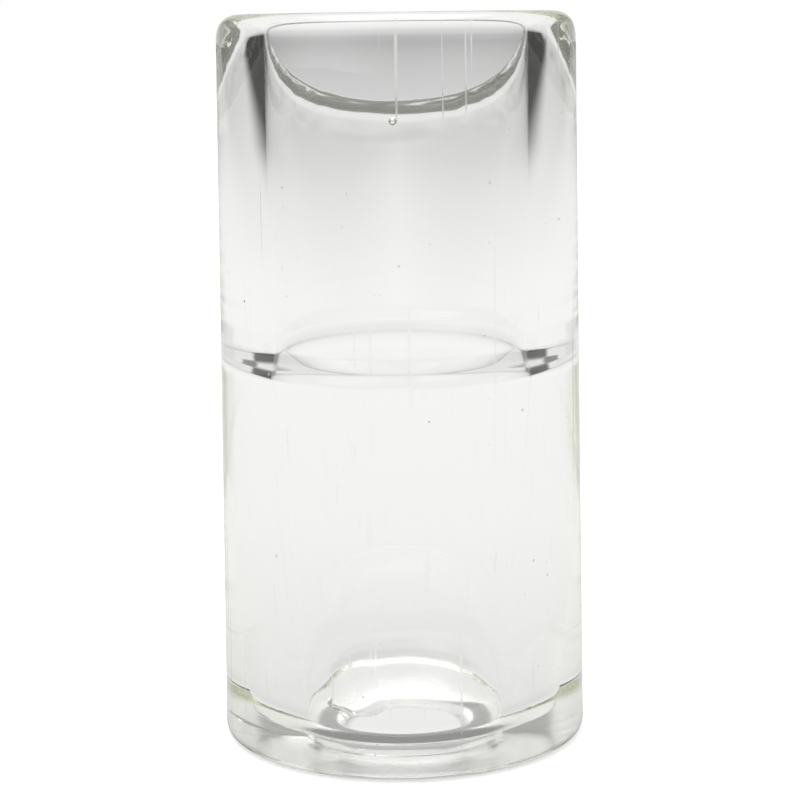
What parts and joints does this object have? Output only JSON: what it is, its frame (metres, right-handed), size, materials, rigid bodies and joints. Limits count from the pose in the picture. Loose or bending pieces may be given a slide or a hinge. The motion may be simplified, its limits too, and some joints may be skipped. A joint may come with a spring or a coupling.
{
  "type": "guitar slide",
  "caption": "Thick clear moulded glass tube worn on a finger to play slide guitar, bored through with a soft ridge half-way and a taper below it, with a slanted knuckle cutaway at the open end.",
  "frame": {"origin": "centre of the tip face, on the axis of the bore, where the slide stands", "axes": "+Z along the bore, from the tip to the open end; +Y towards the side with the knuckle cutaway; +X completes the right-handed frame"},
  "size_m": [0.029, 0.029, 0.0574],
  "materials": {
    "clear_glass": "clear moulded glass with a faint green tint, fire-polished rim"
  },
  "bodies": {
    "root": {"glass_body": "clear_glass"}
  },
  "joints": []
}
